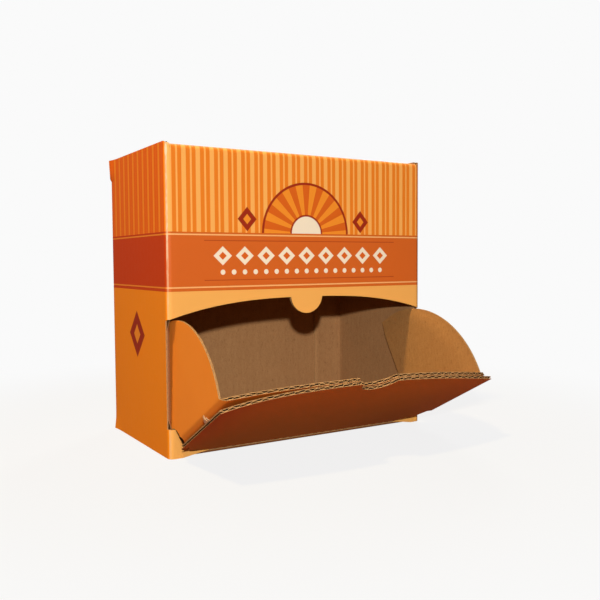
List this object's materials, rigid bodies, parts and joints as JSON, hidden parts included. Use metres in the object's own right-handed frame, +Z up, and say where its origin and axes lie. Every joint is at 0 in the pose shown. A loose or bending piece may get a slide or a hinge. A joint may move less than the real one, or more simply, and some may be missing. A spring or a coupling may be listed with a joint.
{
  "type": "display box",
  "caption": "Counter display box of corrugated board with a tuck lid, an arched front opening and a hinged drop-front lip backed by a scoop insert with rounded wings.",
  "frame": {"origin": "on the surface the box stands on, under the middle of the carton's footprint", "axes": "+X to the right of a person facing the open front, +Y to the back wall, +Z up"},
  "size_m": [0.205, 0.1934, 0.199],
  "materials": {
    "carton_board": "semi-gloss printed liner outside, bare kraft inside",
    "lid_board": "semi-gloss printed liner outside, bare kraft inside",
    "lip_board": "semi-gloss printed liner outside, bare kraft inside",
    "insert_board": "printed liner outside, bare matt kraft inside"
  },
  "bodies": {
    "carton": {"carton_body": "carton_board"},
    "lid": {"lid": "lid_board"},
    "scoop": {"front_lip": "lip_board", "scoop_insert": "insert_board"}
  },
  "joints": [
    {"name": "scoop_hinge", "type": "hinge", "parent": "carton", "child": "scoop", "pos_m": [0, -0.055, 0.003], "axis": [-1, 0, 0], "range_deg": [0, 60]},
    {"name": "lid_hinge", "type": "hinge", "parent": "carton", "child": "lid", "pos_m": [0, -0.055, 0.1945], "axis": [1, 0, 0], "range_deg": [0, 180]}
  ]
}
